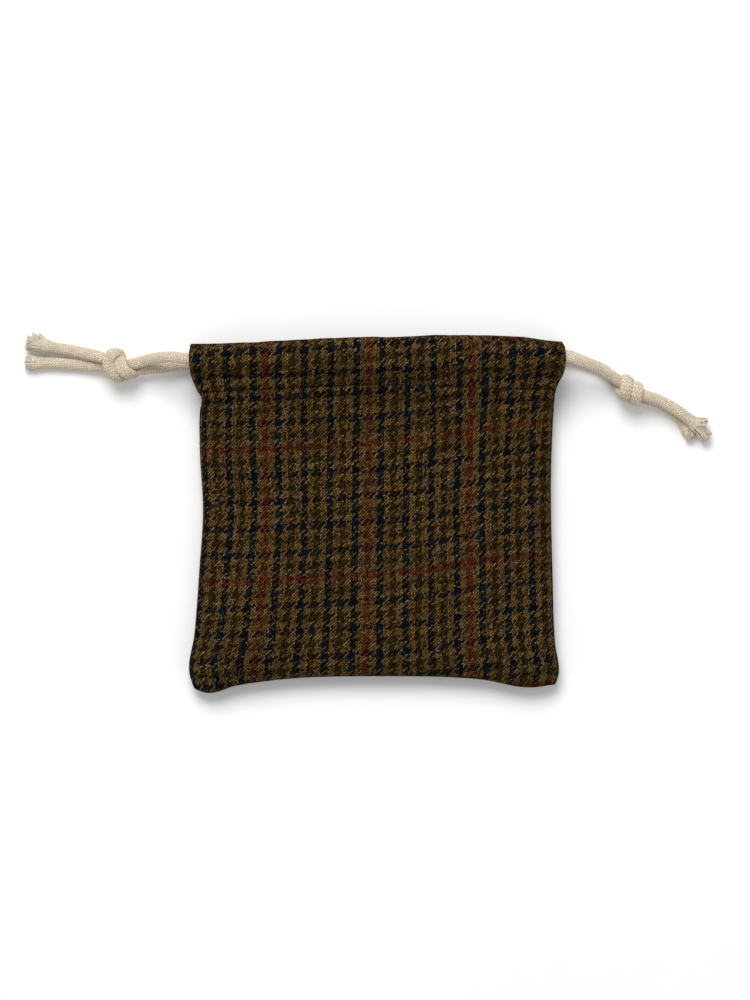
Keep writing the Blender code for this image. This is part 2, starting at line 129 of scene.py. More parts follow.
RIGHT_WRAP_STRAND = [
    (76.8, 63.4, BACK_CORD_Z), (80.4, 62.0, 3.0), (85.0, 60.2, 2.6), (89.0, 58.7, 2.6),
    (92.4, 56.6, 3.0), (95.2, 53.4, 3.6), (96.9, 50.2, 4.6), (97.9, 47.6, 7.0), (98.6, 46.8, 9.8),
    (99.2, 48.4, 11.5), (99.6, 51.2, 11.3), (99.7, 53.3, 9.2), (100.1, 54.0, 6.2),
    (100.8, 52.6, 3.2), (101.6, 49.4, 2.2), (102.1, 46.6, 3.0), (102.5, 45.0, 5.6),
    (103.0, 45.3, 8.8), (103.5, 47.3, 10.8), (103.9, 49.5, 10.6), (104.1, 51.1, 8.4),
    (104.2, 51.0, 5.4), (104.2, 49.2, 3.6), (105.0, 47.2, 3.0), (108.2, 45.9, 2.8),
    (111.9, 45.0, 2.3), (116.2, 42.9, 2.2), (119.8, 40.3, 2.2), (122.4, 37.4, 2.2),
    (124.2, 34.6, 2.4), (125.2, 32.9, 2.5)]

# The lines that the knots' wraps go round, as a point and a direction
KNOT_LINES = {"left": ((-103.0, 59.3, 6.5), (-1.0, 0.05, 0.0)),
              "right": ((100.8, 49.6, 6.6), (0.88, -0.48, 0.0))}
WRAP_WIDE, WRAP_TALL = 1.22, 0.86  # a wrap that is pulled tight lies flatter

# Braid of the cord: slanting stitches in ribs, alternately left and right
RIBS = 16
STITCH = 1.20
STITCH_SLANT = 0.8
BRAID_DEPTH = 0.22
CORD_WIDE, CORD_TALL = 1.07, 0.93  # the cord is soft, so it lies a little flat
HELD_WIDE = 0.97  # inside the casing it is squeezed
RING_SPACING = 0.2
EASE = 16.0  # over this length inside the casing a cord drifts to its own line
SIDES = 96


# ---------------------------------------------------------------- small helpers

def curve(points, at):
    """Values at `at` of a smooth curve through (u, value) points, flat beyond its ends."""
    u = np.array([p[0] for p in points], float)
    value = np.array([p[1] for p in points], float)
    slopes = np.gradient(value, u)
    at = np.clip(np.asarray(at, float), u[0], u[-1])
    i = np.clip(np.searchsorted(u, at, side="right") - 1, 0, len(u) - 2)
    span = u[i + 1] - u[i]
    t = (at - u[i]) / span
    return ((2 * t ** 3 - 3 * t ** 2 + 1) * value[i] + (t ** 3 - 2 * t ** 2 + t) * slopes[i] * span
            + (3 * t ** 2 - 2 * t ** 3) * value[i + 1] + (t ** 3 - t ** 2) * slopes[i + 1] * span)


def smooth_step(low, high, at):
    """0 below low, 1 above high and a smooth rise between them."""
    t = np.clip((np.asarray(at, float) - low) / (high - low), 0.0, 1.0)
    return t * t * (3 - 2 * t)


def resample(points, count=None, step=None):
    """Points evenly spaced along a chain of points."""
    points = np.asarray(points, float)
    along = np.concatenate([[0.0], np.cumsum(np.linalg.norm(np.diff(points, axis=0), axis=1))])
    if count is None:
        count = max(int(round(along[-1] / step)) + 1, 2)
    wanted = np.linspace(0.0, along[-1], count)
    return np.stack([np.interp(wanted, along, points[:, k]) for k in range(points.shape[1])], axis=1)


def spline(points, fine=24):
    """A dense Catmull-Rom curve through points."""
    p = np.asarray(points, float)
    p = np.vstack([2 * p[0] - p[1], p, 2 * p[-1] - p[-2]])
    t = (np.arange(fine) / fine)[:, None]
    runs = [0.5 * (2 * b + (c - a) * t + (2 * a - 5 * b + 4 * c - d) * t ** 2
                   + (3 * b - 3 * c + d - a) * t ** 3) for a, b, c, d in zip(p, p[1:], p[2:], p[3:])]
    return np.vstack(runs + [p[-2][None]])


def relaxed(points, passes):
    """Rounds off a chain of points, keeping its two ends."""
    points = points.copy()
    for _ in range(passes):
        points[1:-1] = (points[:-2] + 2 * points[1:-1] + points[2:]) / 4
    return points


def face_outwards(mesh):
    """Winds every closed shell of a mesh so that its faces look outwards. The uv stay with their corners."""
    shells = bmesh.new()
    shells.from_mesh(mesh)
    bmesh.ops.recalc_face_normals(shells, faces=shells.faces)
    shells.to_mesh(mesh)
    shells.free()


def add_mesh(name, vertices, faces, uv=None, finish=None, smooth=True):
    """A mesh object from points in millimetres. uv holds one pair for each face corner."""
    mesh = bpy.data.meshes.new(name)
    faces = np.asarray(faces)
    mesh.vertices.add(len(vertices))
    mesh.vertices.foreach_set("co", (np.asarray(vertices, float) * MM).astype(np.float32).ravel())
    mesh.loops.add(faces.size)
    mesh.loops.foreach_set("vertex_index", faces.astype(np.int32).ravel())
    mesh.polygons.add(len(faces))
    mesh.polygons.foreach_set("loop_start", np.arange(0, faces.size, faces.shape[1], dtype=np.int32))
    mesh.update(calc_edges=True)
    if uv is not None:
        layer = mesh.uv_layers.new(name="cloth")
        layer.data.foreach_set("uv", np.asarray(uv, np.float32).ravel())
    mesh.validate()
    if len(faces) > 1:
        face_outwards(mesh)
    if smooth:
        mesh.shade_smooth()
    made = bpy.data.objects.new(name, mesh)
    bpy.context.scene.collection.objects.link(made)
    if finish:
        mesh.materials.append(finish)
    return made


# ---------------------------------------------------------------- materials

class Nodes:
    """Shorthand for one material's node tree."""

    def __init__(self, name):
        self.material = bpy.data.materials.new(name)
        self.material.use_nodes = True
        self.tree = self.material.node_tree
        self.shader = self.tree.nodes["Principled BSDF"]

    def put(self, socket, value):
        if isinstance(value, bpy.types.NodeSocket):
            self.tree.links.new(value, socket)
        else:
            socket.default_value = value

    def add(self, kind, inputs=None, **settings):
        node = self.tree.nodes.new(kind)
        for key, value in settings.items():
            setattr(node, key, value)
        for key, value in (inputs or {}).items():
            self.put(node.inputs[key], value)
        return node

    def math(self, operation, *values):
        node = self.add("ShaderNodeMath", operation=operation)
        for socket, value in zip(node.inputs, values):
            self.put(socket, value)
        return node.outputs[0]

    def plus(self, a, b):
        return self.math("ADD", a, b)

    def minus(self, a, b):
        return self.math("SUBTRACT", a, b)

    def times(self, a, b):
        return self.math("MULTIPLY", a, b)

    def ramp(self, factor, stops, interpolation="CONSTANT"):
        node = self.add("ShaderNodeValToRGB", {"Fac": factor})
        node.color_ramp.interpolation = interpolation
        while len(node.color_ramp.elements) < len(stops):
            node.color_ramp.elements.new(1.0)
        for element, (position, colour) in zip(node.color_ramp.elements, stops):
            element.position = position
            element.color = (*colour, 1.0)
        return node.outputs["Color"]

    def mix(self, factor, a, b, blend_type="MIX"):
        node = self.add("ShaderNodeMix", data_type="RGBA", blend_type=blend_type)
        self.put(node.inputs[0], factor)
        self.put(node.inputs[6], a)
        self.put(node.inputs[7], b)
        return node.outputs[2]

    def vector(self, x, y, z=0.0):
        return self.add("ShaderNodeCombineXYZ", {"X": x, "Y": y, "Z": z}).outputs[0]

    def noise(self, vector, scale, detail=2.0, output="Fac"):
        inputs = {"Vector": vector, "Scale": scale, "Detail": detail}
        return self.add("ShaderNodeTexNoise", inputs).outputs[output]

    def random(self, vector):
        """Three random numbers that stay the same for the same vector."""
        node = self.add("ShaderNodeTexWhiteNoise", {"Vector": vector}, noise_dimensions="3D")
        parts = self.add("ShaderNodeSeparateColor", {"Color": node.outputs["Color"]})
        return parts.outputs[0], parts.outputs[1], parts.outputs[2]

    def uv(self, scale):
        """The piece's own two coordinates, in millimetres."""
        node = self.add("ShaderNodeUVMap", uv_map="cloth")
        parts = self.add("ShaderNodeSeparateXYZ", {"Vector": node.outputs["UV"]})
        return self.times(parts.outputs[0], scale), self.times(parts.outputs[1], scale)

    def bump(self, height, distance, strength=1.0):
        node = self.add("ShaderNodeBump", {"Height": height, "Distance": distance, "Strength": strength})
        self.put(self.shader.inputs["Normal"], node.outputs["Normal"])

    def finish(self, colour, roughness, sheen=0.0, tint=(1, 1, 1), specular=0.2):
        self.put(self.shader.inputs["Base Color"], colour)
        self.put(self.shader.inputs["Roughness"], roughness)
        self.shader.inputs["Sheen Weight"].default_value = sheen
        self.shader.inputs["Sheen Roughness"].default_value = 0.45
        self.shader.inputs["Sheen Tint"].default_value = (*tint, 1.0)
        self.shader.inputs["Specular IOR Level"].default_value = specular
        return self.material


UV_SCALE = 100.0  # millimetres in one unit of the uv layer

LIGHT_YARNS = [
    (0.00, (0.085, 0.045, 0.017)), (0.18, (0.190, 0.108, 0.042)), (0.36, (0.090, 0.066, 0.014)),
    (0.52, (0.200, 0.115, 0.018)), (0.64, (0.260, 0.155, 0.090)), (0.73, (0.200, 0.066, 0.016)),
    (0.81, (0.030, 0.018, 0.008)), (0.91, (0.070, 0.078, 0.040)), (0.96, (0.012, 0.032, 0.030))]
BROWN_YARNS = [
    (0.00, (0.030, 0.016, 0.003)), (0.40, (0.012, 0.007, 0.002)), (0.65, (0.045, 0.032, 0.006)),
    (0.85, (0.090, 0.045, 0.015)), (0.95, (0.005, 0.012, 0.020))]
NAVY_YARNS = [
    (0.00, (0.004, 0.006, 0.013)), (0.50, (0.003, 0.003, 0.003)), (0.80, (0.007, 0.019, 0.036)),
    (0.94, (0.040, 0.026, 0.015))]
RUST_YARNS = [
    (0.00, (0.128, 0.022, 0.008)), (0.40, (0.085, 0.011, 0.004)), (0.65, (0.185, 0.050, 0.013)),
    (0.85, (0.034, 0.007, 0.003))]

HAZE = [(0.3, (0.009, 0.0055, 0.0025)), (0.7, (0.034, 0.021, 0.009))]


def make_tweed(name, shift_u=0.0, shift_v=0.0):
    """A two-and-two twill of heathered yarns in a check, with rust lines over it, and painted shade in the
    gaps between the yarns.
    """
    n = Nodes(name)
    u, v = n.uv(UV_SCALE)
    u, v = n.plus(u, shift_u), n.plus(v, shift_v)
    place = n.vector(u, v)
    for scale, amount in ((0.05, 0.5), (0.9, 0.26), (2.6, 0.12)):
        wander = n.add("ShaderNodeSeparateColor", {"Color": n.noise(place, scale, 1.0, "Color")})
        u = n.math("MULTIPLY_ADD", n.minus(wander.outputs[0], 0.5), amount * 2, u)
        v = n.math("MULTIPLY_ADD", n.minus(wander.outputs[1], 0.5), amount * 2, v)
    across = n.math("DIVIDE", n.minus(u, 0.69), END_PITCH)
    along = n.math("DIVIDE", n.minus(v, 5.53), PICK_PITCH)
    warp, weft = n.math("FLOOR", across), n.math("FLOOR", along)
    across, along = n.math("FRACT", across), n.math("FRACT", along)

    # Which yarn is on top, and how far along its float a point is
    order = n.math("DIVIDE", n.minus(warp, weft), 4.0)
    turn = n.math("FLOOR", order)
    step = n.times(n.math("FRACT", order), 4.0)
    warp_on_top = n.math("LESS_THAN", step, 1.5)
    warp_float = n.times(n.plus(n.minus(1.0, step), along), 0.5)
    weft_float = n.times(n.plus(n.minus(step, 2.0), across), 0.5)

    def choose(factor, a, b):
        return n.add("ShaderNodeMix", data_type="FLOAT", inputs={0: factor, 2: a, 3: b}).outputs[0]

    def stripe(index, repeat, middle):
        """1 on the four yarns round a middle one of every repeat."""
        share = n.math("FRACT", n.math("DIVIDE", n.minus(index, middle - repeat / 2), repeat))
        return n.math("LESS_THAN", n.math("ABSOLUTE", n.minus(share, 0.5)), 2.0 / repeat)

    run = n.minus(choose(warp_on_top, weft_float, warp_float), 0.5)
    side = n.minus(choose(warp_on_top, along, across), 0.5)
    side = n.minus(side, n.times(run, 0.6))
    width = n.minus(1.0, n.math("POWER", n.math("ABSOLUTE", n.times(side, 1.8)), 2.0))
    length = n.minus(1.0, n.math("POWER", n.math("ABSOLUTE", n.times(run, 2.0)), 3.0))
    yarn = n.times(n.math("MAXIMUM", width, 0.0), n.math("MAXIMUM", length, 0.0))

    # The check: four navy, four light, four dark brown and four light yarns,
    # and rust in place of some dark ones
    hairy, _, _ = n.random(n.vector(warp, weft, 3.0))
    warp_seen = n.math("MAXIMUM", warp_on_top, n.math("LESS_THAN", hairy, 0.20))
    navy = choose(warp_seen, stripe(weft, 16.0, 1.5), stripe(warp, 16.0, 1.5))
    brown = choose(warp_seen, stripe(weft, 16.0, 9.5), stripe(warp, 16.0, 9.5))
    rust_pick = stripe(weft, 80.0, 33.5)
    rust = choose(warp_seen, rust_pick, stripe(warp, 64.0, 57.5))
    own = n.vector(choose(warp_seen, weft, warp), turn, warp_seen)
    pick, stray, _ = n.random(own)
    patch = n.vector(n.math("FLOOR", n.times(u, 3.1)), n.math("FLOOR", n.times(v, 2.3)))
    heather, _, _ = n.random(patch)
    kept = n.math("LESS_THAN", stray, choose(warp_seen, 0.96, 0.99))
    pick = n.math("FRACT", n.plus(pick, n.times(n.math("GREATER_THAN", heather, 0.6), heather)))
    colour = n.ramp(pick, LIGHT_YARNS)
    colour = n.mix(n.times(brown, kept), colour, n.ramp(pick, BROWN_YARNS))
    colour = n.mix(n.times(navy, kept), colour, n.ramp(pick, NAVY_YARNS))
    rust = n.math("MAXIMUM", rust, n.times(rust_pick, n.math("LESS_THAN", stray, 0.20)))
    colour = n.mix(rust, colour, n.ramp(pick, RUST_YARNS))

    # Loose fibres lie across the yarns and blur them. Painted shade: the colour is darker in the gaps between
    # the yarns, where the yarn's profile is low, and the fibres vary it at random
    lean = n.plus(u, n.times(v, -0.6))
    fibres = n.noise(n.vector(n.times(lean, 3.6), n.times(v, 1.5)), 1.0, 3.0)
    shade = n.math("MULTIPLY_ADD", yarn, 0.84, 0.07)
    shade = n.times(shade, n.math("MAXIMUM", n.math("MULTIPLY_ADD", fibres, 2.4, -0.17), 0.1))
    haze = n.ramp(n.noise(place, 0.9, 3.0), HAZE, "LINEAR")
    colour = n.mix(0.06, colour, haze)
    colour = n.mix(1.0, colour, n.vector(shade, shade, shade), "MULTIPLY")
    height = n.plus(yarn, n.times(fibres, 0.6))
    n.bump(height, 0.00025, 0.7)
    return n.finish(colour, 0.95, sheen=0.008, tint=(0.75, 0.6, 0.42), specular=0.03)


COTTON_GAP_SHADE = [(0.0, (0.23, 0.155, 0.080)), (0.50, (0.47, 0.370, 0.245)), (0.82, (0.70, 0.605, 0.475)),
                (1.0, (0.79, 0.720, 0.610))]
COTTON_TINTS = [(0.0, (0.73, 0.58, 0.46)), (0.5, (0.75, 0.67, 0.56)), (1.0, (0.68, 0.60, 0.43))]


def braid_height(n, u, v):
    """The same ribs of slanting stitches that the cord's mesh has."""
    rib = n.times(v, RIBS)
    across = n.math("FRACT", rib)
    turned = n.math("GREATER_THAN", n.math("FRACT", n.times(rib, 0.5)), 0.499)
    slant = n.math("ABSOLUTE", n.minus(turned, across))
    stitch = n.plus(n.math("DIVIDE", u, STITCH), n.times(slant, STITCH_SLANT))
    lobe = n.math("SINE", n.times(n.math("FRACT", stitch), math.pi))
    ridge = n.math("SINE", n.times(across, math.pi))
    height = n.times(n.math("POWER", lobe, 0.6), n.math("POWER", ridge, 0.3))
    return height, n.math("FLOOR", stitch), rib


def make_cotton(name):
    """Soft braided cotton, undyed, with painted shade: darker between the stitches and paler on top of each.
    """
    n = Nodes(name)
    u, v = n.uv(UV_SCALE)
    v = n.math("DIVIDE", v, UV_SCALE)
    height, stitch, rib = braid_height(n, u, v)
    lean = n.plus(n.times(v, 9.0), n.times(u, 0.5))
    fibres = n.noise(n.vector(n.times(u, 3.0), n.times(lean, 4.0)), 1.0, 3.0)
    own, _, tint = n.random(n.vector(stitch, n.math("FLOOR", rib)))
    # Painted shade: the braid's height picks a darker colour in the hollows between the stitches
    colour = n.mix(0.25, n.ramp(height, COTTON_GAP_SHADE, "LINEAR"), n.ramp(tint, COTTON_TINTS, "LINEAR"))
    shade = n.times(n.math("MULTIPLY_ADD", own, 0.22, 0.87),
                    n.math("MULTIPLY_ADD", fibres, 0.36, 0.82))
    colour = n.mix(1.0, colour, n.vector(shade, shade, shade), "MULTIPLY")
    n.bump(n.plus(height, n.times(fibres, 0.5)), 0.00012, 0.7)
    return n.finish(colour, 0.85, sheen=0.10, tint=(1.0, 0.96, 0.88))


def make_yarn(name, pale, groove_shade, sheen=0.1):
    """A spun yarn, with its twist running round it, and painted shade that darkens the grooves between its
    plies; the fibres vary it at random.
    """
    n = Nodes(name)
    u, v = n.uv(UV_SCALE)
    twist = n.math("FRACT", n.plus(n.times(u, 1.6), n.times(v, 3.0 / UV_SCALE)))
    ply = n.math("SINE", n.times(twist, math.pi))
    fibres = n.noise(n.vector(n.times(u, 5.0), v), 1.0, 2.0)
    # Painted shade: the colour runs from the groove shade between the plies to the pale colour on their
    # ridges
    colour = n.ramp(n.times(ply, n.plus(fibres, 0.5)), [(0.0, groove_shade), (0.8, pale)], "LINEAR")
    n.bump(ply, 0.00006, 0.6)
    return n.finish(colour, 0.85, sheen=sheen, tint=(1.0, 0.95, 0.88), specular=0.1)


def make_floor_finish():
    """Plain white paper."""
    n = Nodes("floor_paper")
    grain = n.noise(n.add("ShaderNodeTexCoord").outputs["Object"], 40.0, 3.0)
    colour = n.ramp(grain, [(0.3, (0.955, 0.955, 0.955)), (0.7, (0.965, 0.965, 0.965))], "LINEAR")
    return n.finish(colour, 0.9)


# ---------------------------------------------------------------- camera, light and floor

def make_camera():
    """Straight above the sack, far enough back that it hardly tapers."""
    distance, seen = 2.0, 0.4  # metres: the distance from the sack's top and the height it shows there
    data = bpy.data.cameras.new("camera")
    data.sensor_width = 36.0
    data.lens = data.sensor_width * distance / seen
    data.dof.use_dof = False
    data.clip_end = 20.0
    made = bpy.data.objects.new("camera", data)
    made.location = (-0.001, 0.00544, distance + 0.010)
    bpy.context.scene.collection.objects.link(made)
    bpy.context.scene.camera = made


def make_light(name, place, size, power):
    """A round lamp that faces the middle of the sack."""
    data = bpy.data.lights.new(name, "AREA")
    data.shape = "DISK"
    data.size = size
    data.energy = power
    made = bpy.data.objects.new(name, data)
    made.location = place
    made.rotation_mode = "QUATERNION"
    made.rotation_quaternion = (-Vector(place)).to_track_quat("-Z", "Y")
    bpy.context.scene.collection.objects.link(made)


def make_stage():
    """The lamps, the even light of the surroundings and the floor."""
    make_light("key_light", (-0.30, 1.30, 1.65), 1.3, 36.0)
    make_light("fill_light", (0.9, -1.0, 1.6), 1.8, 3.0)
    world = bpy.data.worlds.new("studio")
    world.use_nodes = True
    world.node_tree.nodes["Background"].inputs["Color"].default_value = (1.0, 1.0, 1.0, 1.0)
    world.node_tree.nodes["Background"].inputs["Strength"].default_value = 0.50
    bpy.context.scene.world = world
    half, below = 3000.0, -0.05
    corners = [(x * half, y * half, below) for x, y in ((-1, -1), (1, -1), (1, 1), (-1, 1))]
    floor = add_mesh("floor", corners, [(0, 1, 2, 3)], finish=make_floor_finish(), smooth=False)
    bpy.context.scene.view_settings.view_transform = "Standard"


# ---------------------------------------------------------------- cords

def braid_relief(length, share):
    """Height of the braid, 0 to 1, at a length along the cord and a share of the way round it."""
    rib = share * RIBS
    across = rib % 1.0
    slant = np.abs((np.floor(rib) % 2) - across)
    lobe = np.sin(np.pi * ((length / STITCH + slant * STITCH_SLANT) % 1.0))
    return np.maximum(lobe, 0.0) ** 0.6 * np.maximum(np.sin(np.pi * across), 0.0) ** 0.3


def frames(path):
    """Directions along a path, and two across it that never twist."""
    forward = np.gradient(path, axis=0)
    forward /= np.linalg.norm(forward, axis=1)[:, None]
    across = np.zeros_like(path)
    across[0] = np.cross(forward[0], (0, 0, 1))
    across[0] /= np.linalg.norm(across[0])
    for k in range(1, len(path)):
        turned = across[k - 1] - forward[k] * np.dot(across[k - 1], forward[k])
        across[k] = turned / np.linalg.norm(turned)
    return forward, across, np.cross(forward, across)


def tube(name, cord, part, finish, radius, upward=None, wide=CORD_WIDE, tall=CORD_TALL, sides=SIDES):
    """A braided tube along part of a cord, `tall` along the upward directions and `wide` square to them."""
    path, forward, across, over, along = (values[part] for values in cord)
    upward = np.tile((0.0, 0.0, 1.0), (len(path), 1)) if upward is None else upward
    upward = upward - forward * np.sum(upward * forward, axis=1)[:, None]
    lengths = np.linalg.norm(upward, axis=1)
    upward = np.where(lengths[:, None] > 0.05, upward / np.maximum(lengths, 1e-6)[:, None], over)
    wide, tall = np.broadcast_to(wide, len(path)), np.broadcast_to(tall, len(path))
    share = np.arange(sides) / sides
    angle = 2 * np.pi * share
    out = across[:, None] * np.cos(angle)[None, :, None] + over[:, None] * np.sin(angle)[None, :, None]
    level = np.abs(np.sum(out * upward[:, None], axis=2))
    reach = 1 / np.sqrt((1 - level ** 2) / wide[:, None] ** 2 + level ** 2 / tall[:, None] ** 2)
    bumps = BRAID_DEPTH * (braid_relief(along[:, None], share[None, :]) - 0.8)
    reach = radius[:, None] * reach + bumps * radius[:, None] / radius.max()
    points = path[:, None] + out * reach[:, :, None]
    points[:, :, 2] = np.maximum(points[:, :, 2], LIFT)
    rings = len(path)
    i, k = np.meshgrid(np.arange(rings - 1), np.arange(sides), indexing="ij")
    following = (k + 1) % sides
    faces = np.stack([(i + 1) * sides + k, (i + 1) * sides + following,
                      i * sides + following, i * sides + k], -1)
    u = np.stack([along[i + 1], along[i + 1], along[i], along[i]], -1) / UV_SCALE
    v = np.stack([k, k + 1, k + 1, k], -1) / sides
    faces, u, v = faces.reshape(-1, 4), u.reshape(-1, 4), v.reshape(-1, 4)
    vertices = list(points.reshape(-1, 3))
    count = len(vertices)
    vertices += [path[0], path[-1]]
    caps, cap_u = [], []
    for ring, middle, turn in ((0, count, 1), (rings - 1, count + 1, -1)):
        for a in range(0, sides, 2):
            caps.append([ring * sides + (a + d) % sides for d in (0, 1, 2)][::turn] + [middle])
            cap_u.append([along[ring] / UV_SCALE] * 4)
    faces = np.vstack([faces, caps])
    u = np.vstack([u, cap_u])
    v = np.vstack([v, np.full((len(caps), 4), 0.02)])
    return add_mesh(name, vertices, faces, np.stack([u, v], -1), finish)


# A rod's corners as (ring, side) steps, and the quads that close an end
YARN_SIDES, YARN_CORNERS, YARN_CAPS = 6, ((1, 0), (1, 1), (0, 1), (0, 0)), ((0, 1, 2, 3), (0, 3, 4, 5))
THREAD_SIDES, THREAD_CORNERS = 8, ((0, 0), (1, 0), (1, 1), (0, 1))
THREAD_CAPS = ((0, 1, 2, 3), (0, 3, 4, 7), (4, 5, 6, 7))


def add_rod(vertices, faces, uvs, line, radius, along, around, corners, caps):
    """Adds a thin closed rod to the lists. radius and along have a value for each ring."""
    _, a, b = frames(line)
    turns = 2 * np.pi * np.arange(around) / around
    ring = a[:, None] * np.cos(turns)[None, :, None] + b[:, None] * np.sin(turns)[None, :, None]
    first, rings = len(vertices), len(line)
    vertices.extend((line[:, None] + ring * radius[:, None, None]).reshape(-1, 3))
    for i in range(rings - 1):
        for k in range(around):
            quad = [(i + up, k + on) for up, on in corners]
            faces.append([first + row * around + column % around for row, column in quad])
            uvs.append([(along[row] / UV_SCALE, column) for row, column in quad])
    for start, order in ((first, 1), (first + (rings - 1) * around, -1)):
        for cap in caps:
            faces.append([start + q for q in cap][::order])
            uvs.append([(0.0, 0.0)] * 4)


def casing_end(points, side):
    """Where a cord leaves the casing, at the height and line of its first chosen point."""
    return (side * (SACK_END - 1.0), *points[0][1:])


def whole_cord(front_points, back_points, side, run_y):
    """One drawstring: a free strand, the front run, the turn, the back run and the other free strand."""
    start = casing_end(front_points, side)
    finish = casing_end(back_points, side)
    centre = -side * (SACK_END - 0.3 - CORD / 2 - BIGHT_RADIUS)
    middle = (FRONT_CORD_Z + BACK_CORD_Z) / 2
    turn = [(centre - side * BIGHT_RADIUS * math.sin(a), run_y, middle + BIGHT_RADIUS * math.cos(a))
            for a in np.linspace(0, math.pi, 25)]
    ease = np.linspace(0, 1, 20)[1:]
    drift = smooth_step(0, 1, ease)
    first_run, last_run = ([(x - side * EASE * t, y + (run_y - y) * d, z) for t, d in zip(ease, drift)]
                           for x, y, z in (start, finish))
    front, back = spline([start] + front_points), spline([finish] + back_points)
    points = np.vstack([front[::-1], first_run, turn, last_run[::-1], back])
    path = relaxed(resample(points, step=RING_SPACING), 60)
    path = resample(path, step=RING_SPACING)
    held = np.flatnonzero(side * path[:, 0] < SACK_END - 1.0)
    forward, across, over = frames(path)
    along = np.concatenate([[0.0], np.cumsum(np.linalg.norm(np.diff(path, axis=0), axis=1))])
    return (path, forward, across, over, along), held[0], held[-1]


def knot_share(path, low_x, high_x):
    """1 within a knot, falling to 0 a few millimetres outside it."""
    x = np.abs(path[:, 0])
    return smooth_step(low_x - 3.0, low_x, x) * (1 - smooth_step(high_x, high_x + 3.0, x))


def fray(name, path, bundles, seed, finish):
    """Yarns that splay from a strand's cut end. Each bundle is (count, tip, how far its tips scatter)."""
    rng = np.random.default_rng(seed)
    end = path[-1]
    forward = path[-1] - path[-9]
    forward /= np.linalg.norm(forward)
    sideways = np.cross(forward, (0, 0, 1))
    sideways /= np.linalg.norm(sideways)
    upward = np.cross(sideways, forward)
    vertices, faces, uvs = [], [], []
    rings = 10
    t = np.linspace(0, 1, rings)[:, None]
    for count, tip, scatter in bundles:
        tip = np.array(tip, float)
        lean = np.dot(tip - end, sideways)
        for _ in range(count):
            angle, out = rng.uniform(0, 2 * np.pi), math.sqrt(rng.uniform(0, 1))
            direction = sideways * math.cos(angle) + upward * math.sin(angle)
            base = end - forward * rng.uniform(1.2, 3.2) + direction * (0.25 + 0.75 * out) * (CORD / 2 + 0.15)
            base = base + sideways * np.clip(lean * 0.12, -0.4, 0.4)
            side_tip = sideways * math.cos(angle) * scatter[0] + upward * math.sin(angle) * scatter[1]
            goal = tip + side_tip * out + rng.normal(0, 0.30, 3)
            goal = goal + (goal - end) * rng.uniform(-0.22, 0.04)
            pull = np.linalg.norm(goal - base)
            middle = base + forward * pull * 0.45
            line = base * (1 - t) ** 2 + 2 * middle * t * (1 - t) + goal * t ** 2
            sway, ripple = rng.normal(0, 0.30, 3), rng.normal(0, 0.16, 3)
            line = line + sway * np.sin(np.pi * t) + ripple * np.sin(3 * np.pi * t)
            line[:, 2] = np.maximum(line[:, 2], 0.25)
            radius = rng.uniform(0.20, 0.34) * (1 - 0.30 * np.linspace(0, 1, rings) ** 3)
            along = np.arange(rings) * pull / rings
            add_rod(vertices, faces, uvs, line, radius, along, YARN_SIDES, YARN_CORNERS, YARN_CAPS)
    vertices = np.array(vertices)
    vertices[:, 2] = np.maximum(vertices[:, 2], LIFT)
    return add_mesh(name, vertices, faces, uvs, finish)


DRAWSTRINGS = {
    # for the strand at the front and at the back: points, x range of the knot, tail node, flare of the end,
    # and the bundles of its frayed end
    "left": (-1, LEFT_CORD_Y, {
        "over": (LEFT_OVER_STRAND, "front", (97.0, 109.0), "lower_tail", 0.30,
                 [(170, (-141.0, 60.4, 2.5), (2.7, 2.0))]),
        "wrap": (LEFT_WRAP_STRAND, "back", (96.0, 109.0), "upper_tail", 0.35,
                 [(150, (-140.7, 68.7, 3.2), (3.0, 2.7)), (50, (-138.6, 65.7, 2.6), (1.3, 1.7)),
                  (50, (-138.4, 71.2, 3.4), (1.3, 2.0)), (70, (-135.5, 71.3, 3.4), (1.5, 2.0))])}),
    "right": (1, RIGHT_CORD_Y, {
        "over": (RIGHT_OVER_STRAND, "front", (95.0, 106.0), "over_tail", 0.30,
                 [(80, (131.6, 36.4, 4.4), (2.0, 2.2)), (100, (132.4, 30.4, 3.1), (2.6, 2.0))]),
        "wrap": (RIGHT_WRAP_STRAND, "back", (94.0, 106.0), "under_tail", 0.25,
                 [(90, (126.4, 30.1, 2.4), (2.2, 1.8))])}),
}


def make_strand(hand, name, cord, part, spec, seed, cotton, yarn):
    """One free strand, from the casing to its frayed end. part runs from the casing outwards."""
    _, level, knot, tail, flare, bundles = spec
    path = cord[0][part]
    in_knot = knot_share(path, *knot)
    to_end = cord[4][part]
    to_end = np.abs(to_end[-1] - to_end)
    opening = 1 + flare * (1 - smooth_step(0.0, 7.0, to_end))
    radius = CORD / 2 * opening * (0.55 + 0.45 * smooth_step(0.0, 1.2, to_end))
    upward = np.tile((0.0, 0.0, 1.0), (len(path), 1))
    wide, tall = CORD_WIDE, CORD_TALL
    if name == "wrap":
        middle, direction = (np.array(v) for v in KNOT_LINES[hand])
        direction = direction / np.linalg.norm(direction)
        away = path - middle
        away = away - np.outer(away @ direction, direction)
        away /= np.maximum(np.linalg.norm(away, axis=1), 1e-6)[:, None]
        upward = upward * (1 - in_knot)[:, None] + away * in_knot[:, None]
        wide, tall = wide + (WRAP_WIDE - wide) * in_knot, tall + (WRAP_TALL - tall) * in_knot
    piece = tube(f"{hand}_{name}_strand", cord, part, cotton, radius, upward, wide, tall)
    frayed = fray(f"{hand}_{name}_strand_end", path, bundles, seed, yarn)
    body = f"{hand}_drawstring"
    for made in (piece, frayed):
        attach(made, body)
    nodes = [f"{body}_{level}_lead", f"{body}_{tail}"] + ([f"{body}_knot"] if name == "wrap" else [])
    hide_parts(*nodes)


